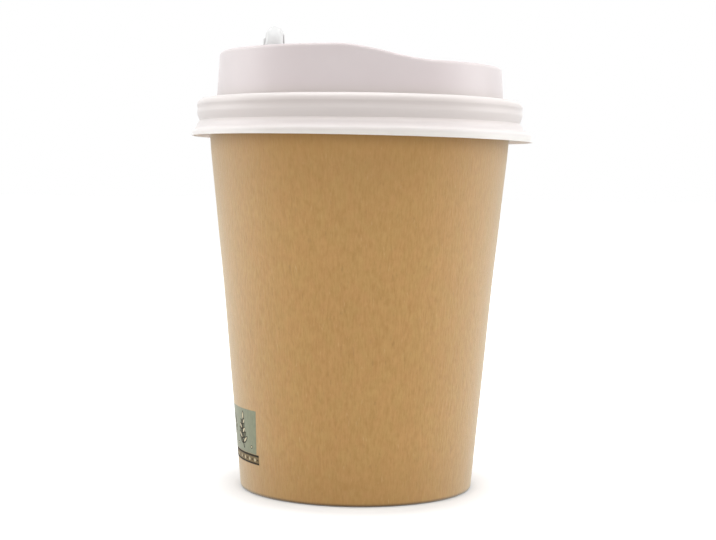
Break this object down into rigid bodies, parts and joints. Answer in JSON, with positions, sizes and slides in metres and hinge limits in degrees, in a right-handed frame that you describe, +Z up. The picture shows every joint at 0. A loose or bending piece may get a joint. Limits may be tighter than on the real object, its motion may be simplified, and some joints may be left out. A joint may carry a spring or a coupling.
{
  "type": "paper coffee cup with lid",
  "caption": "Tapered kraft paper cup with a rolled rim and recessed base, under a press-on plastic sip lid with a sweeping crest and a hinged stopper.",
  "frame": {"origin": "centre of the foot, on the surface that the cup stands on", "axes": "+Z up along the axis of the cup, -X towards the sip hole and the stopper, +X towards the lift tab of the lid"},
  "size_m": [0.0852, 0.0838, 0.1152],
  "materials": {
    "kraft_board": "matte",
    "base_board": "matte",
    "lid_plastic": "satin",
    "stopper_plastic": "satin"
  },
  "bodies": {
    "cup": {"cup_wall": "kraft_board", "base_disc": "base_board"},
    "lid": {"lid": "lid_plastic"},
    "stopper": {"stopper": "stopper_plastic"}
  },
  "joints": [
    {"name": "lid_lift", "type": "slide", "parent": "cup", "child": "lid", "axis": [0, 0, 1], "range_m": [0, 0.03]},
    {"name": "stopper_hinge", "type": "hinge", "parent": "lid", "child": "stopper", "pos_m": [-0.0199, 0, 0.10675], "axis": [0, -1, 0], "range_deg": [-90, 90]}
  ]
}
